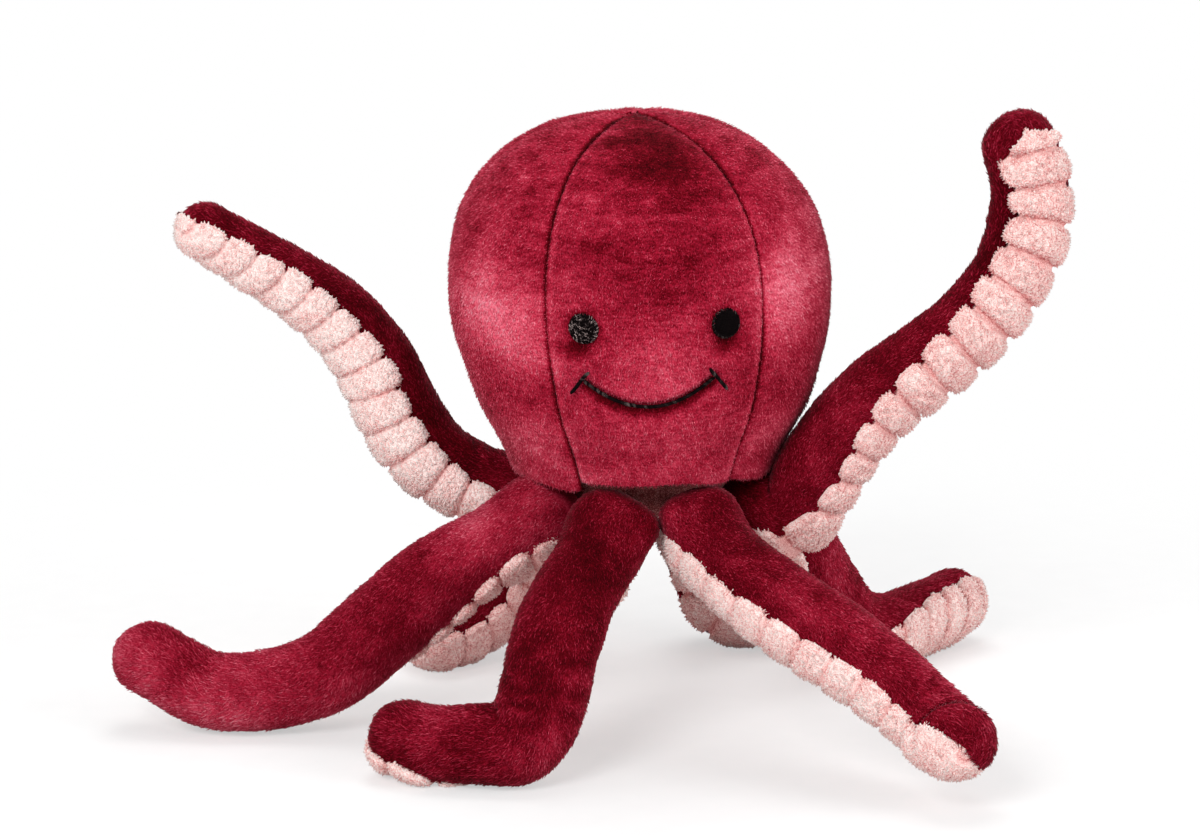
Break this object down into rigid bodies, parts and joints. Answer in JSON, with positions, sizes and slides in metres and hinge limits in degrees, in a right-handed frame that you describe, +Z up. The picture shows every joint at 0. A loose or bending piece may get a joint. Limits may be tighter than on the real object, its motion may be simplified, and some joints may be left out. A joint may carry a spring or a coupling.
{
  "type": "plush octopus",
  "caption": "Soft toy octopus with a round domed head, a stitched face and stuffed tentacles with ribbed pink undersides, standing on some and raising others.",
  "frame": {"origin": "on the floor under the middle of the toy's outline", "axes": "+X to the right as seen from in front, along the widest spread of the tentacles; the face looks along -Y; +Z up"},
  "size_m": [0.413, 0.2796, 0.2758],
  "materials": {
    "crimson_plush": "short dense crimson plush with a brushed sheen",
    "pink_sherpa": "pale pink curly sherpa with raised ribs",
    "white_fibre": "loose white polyester filling",
    "black_thread": "satin black embroidery thread"
  },
  "bodies": {
    "head": {"head_panel_face": "crimson_plush", "head_panel_front_right": "crimson_plush", "head_panel_back_right": "crimson_plush", "head_panel_back": "crimson_plush", "head_panel_back_left": "crimson_plush", "head_panel_front_left": "crimson_plush", "head_stuffing": "white_fibre", "base_panel": "pink_sherpa", "eye_left": "black_thread", "eye_right": "black_thread", "smile_line": "black_thread", "smile_tick_left": "black_thread", "smile_tick_right": "black_thread"},
    "front_centre_tentacle": {"front_centre_tentacle_top": "crimson_plush", "front_centre_tentacle_underside": "pink_sherpa", "front_centre_tentacle_stuffing": "white_fibre"},
    "front_right_tentacle": {"front_right_tentacle_top": "crimson_plush", "front_right_tentacle_underside": "pink_sherpa", "front_right_tentacle_stuffing": "white_fibre"},
    "raised_right_tentacle": {"raised_right_tentacle_top": "crimson_plush", "raised_right_tentacle_underside": "pink_sherpa", "raised_right_tentacle_stuffing": "white_fibre"},
    "rear_right_tentacle": {"rear_right_tentacle_top": "crimson_plush", "rear_right_tentacle_underside": "pink_sherpa", "rear_right_tentacle_stuffing": "white_fibre"},
    "rear_centre_tentacle": {"rear_centre_tentacle_top": "crimson_plush", "rear_centre_tentacle_underside": "pink_sherpa", "rear_centre_tentacle_stuffing": "white_fibre"},
    "rear_left_tentacle": {"rear_left_tentacle_top": "crimson_plush", "rear_left_tentacle_underside": "pink_sherpa", "rear_left_tentacle_stuffing": "white_fibre"},
    "raised_left_tentacle": {"raised_left_tentacle_top": "crimson_plush", "raised_left_tentacle_underside": "pink_sherpa", "raised_left_tentacle_stuffing": "white_fibre"},
    "front_left_tentacle": {"front_left_tentacle_top": "crimson_plush", "front_left_tentacle_underside": "pink_sherpa", "front_left_tentacle_stuffing": "white_fibre"}
  },
  "joints": [
    {"name": "front_centre_lift", "type": "hinge", "parent": "head", "child": "front_centre_tentacle", "pos_m": [0.01009, -0.02149, 0.094], "axis": [-0.9239, 0.3827, 0], "range_deg": [-18, 26]},
    {"name": "front_right_lift", "type": "hinge", "parent": "head", "child": "front_right_tentacle", "pos_m": [0.04836, -0.02149, 0.094], "axis": [-0.9239, -0.3827, 0], "range_deg": [-18, 24]},
    {"name": "raised_right_lift", "type": "hinge", "parent": "head", "child": "raised_right_tentacle", "pos_m": [0.07542, 0.00557, 0.094], "axis": [-0.3827, -0.9239, 0], "range_deg": [-70, 0]},
    {"name": "rear_right_lift", "type": "hinge", "parent": "head", "child": "rear_right_tentacle", "pos_m": [0.07542, 0.04384, 0.094], "axis": [0.3827, -0.9239, 0], "range_deg": [-18, 26]},
    {"name": "rear_centre_lift", "type": "hinge", "parent": "head", "child": "rear_centre_tentacle", "pos_m": [0.04836, 0.0709, 0.094], "axis": [0.9239, -0.3827, 0], "range_deg": [-8, 26]},
    {"name": "rear_left_lift", "type": "hinge", "parent": "head", "child": "rear_left_tentacle", "pos_m": [0.01009, 0.0709, 0.094], "axis": [0.9239, 0.3827, 0], "range_deg": [-18, 26]},
    {"name": "raised_left_lift", "type": "hinge", "parent": "head", "child": "raised_left_tentacle", "pos_m": [-0.01697, 0.04384, 0.094], "axis": [0.3827, 0.9239, 0], "range_deg": [-50, 0]},
    {"name": "front_left_lift", "type": "hinge", "parent": "head", "child": "front_left_tentacle", "pos_m": [-0.01697, 0.00557, 0.094], "axis": [-0.3827, 0.9239, 0], "range_deg": [-18, 26]}
  ]
}
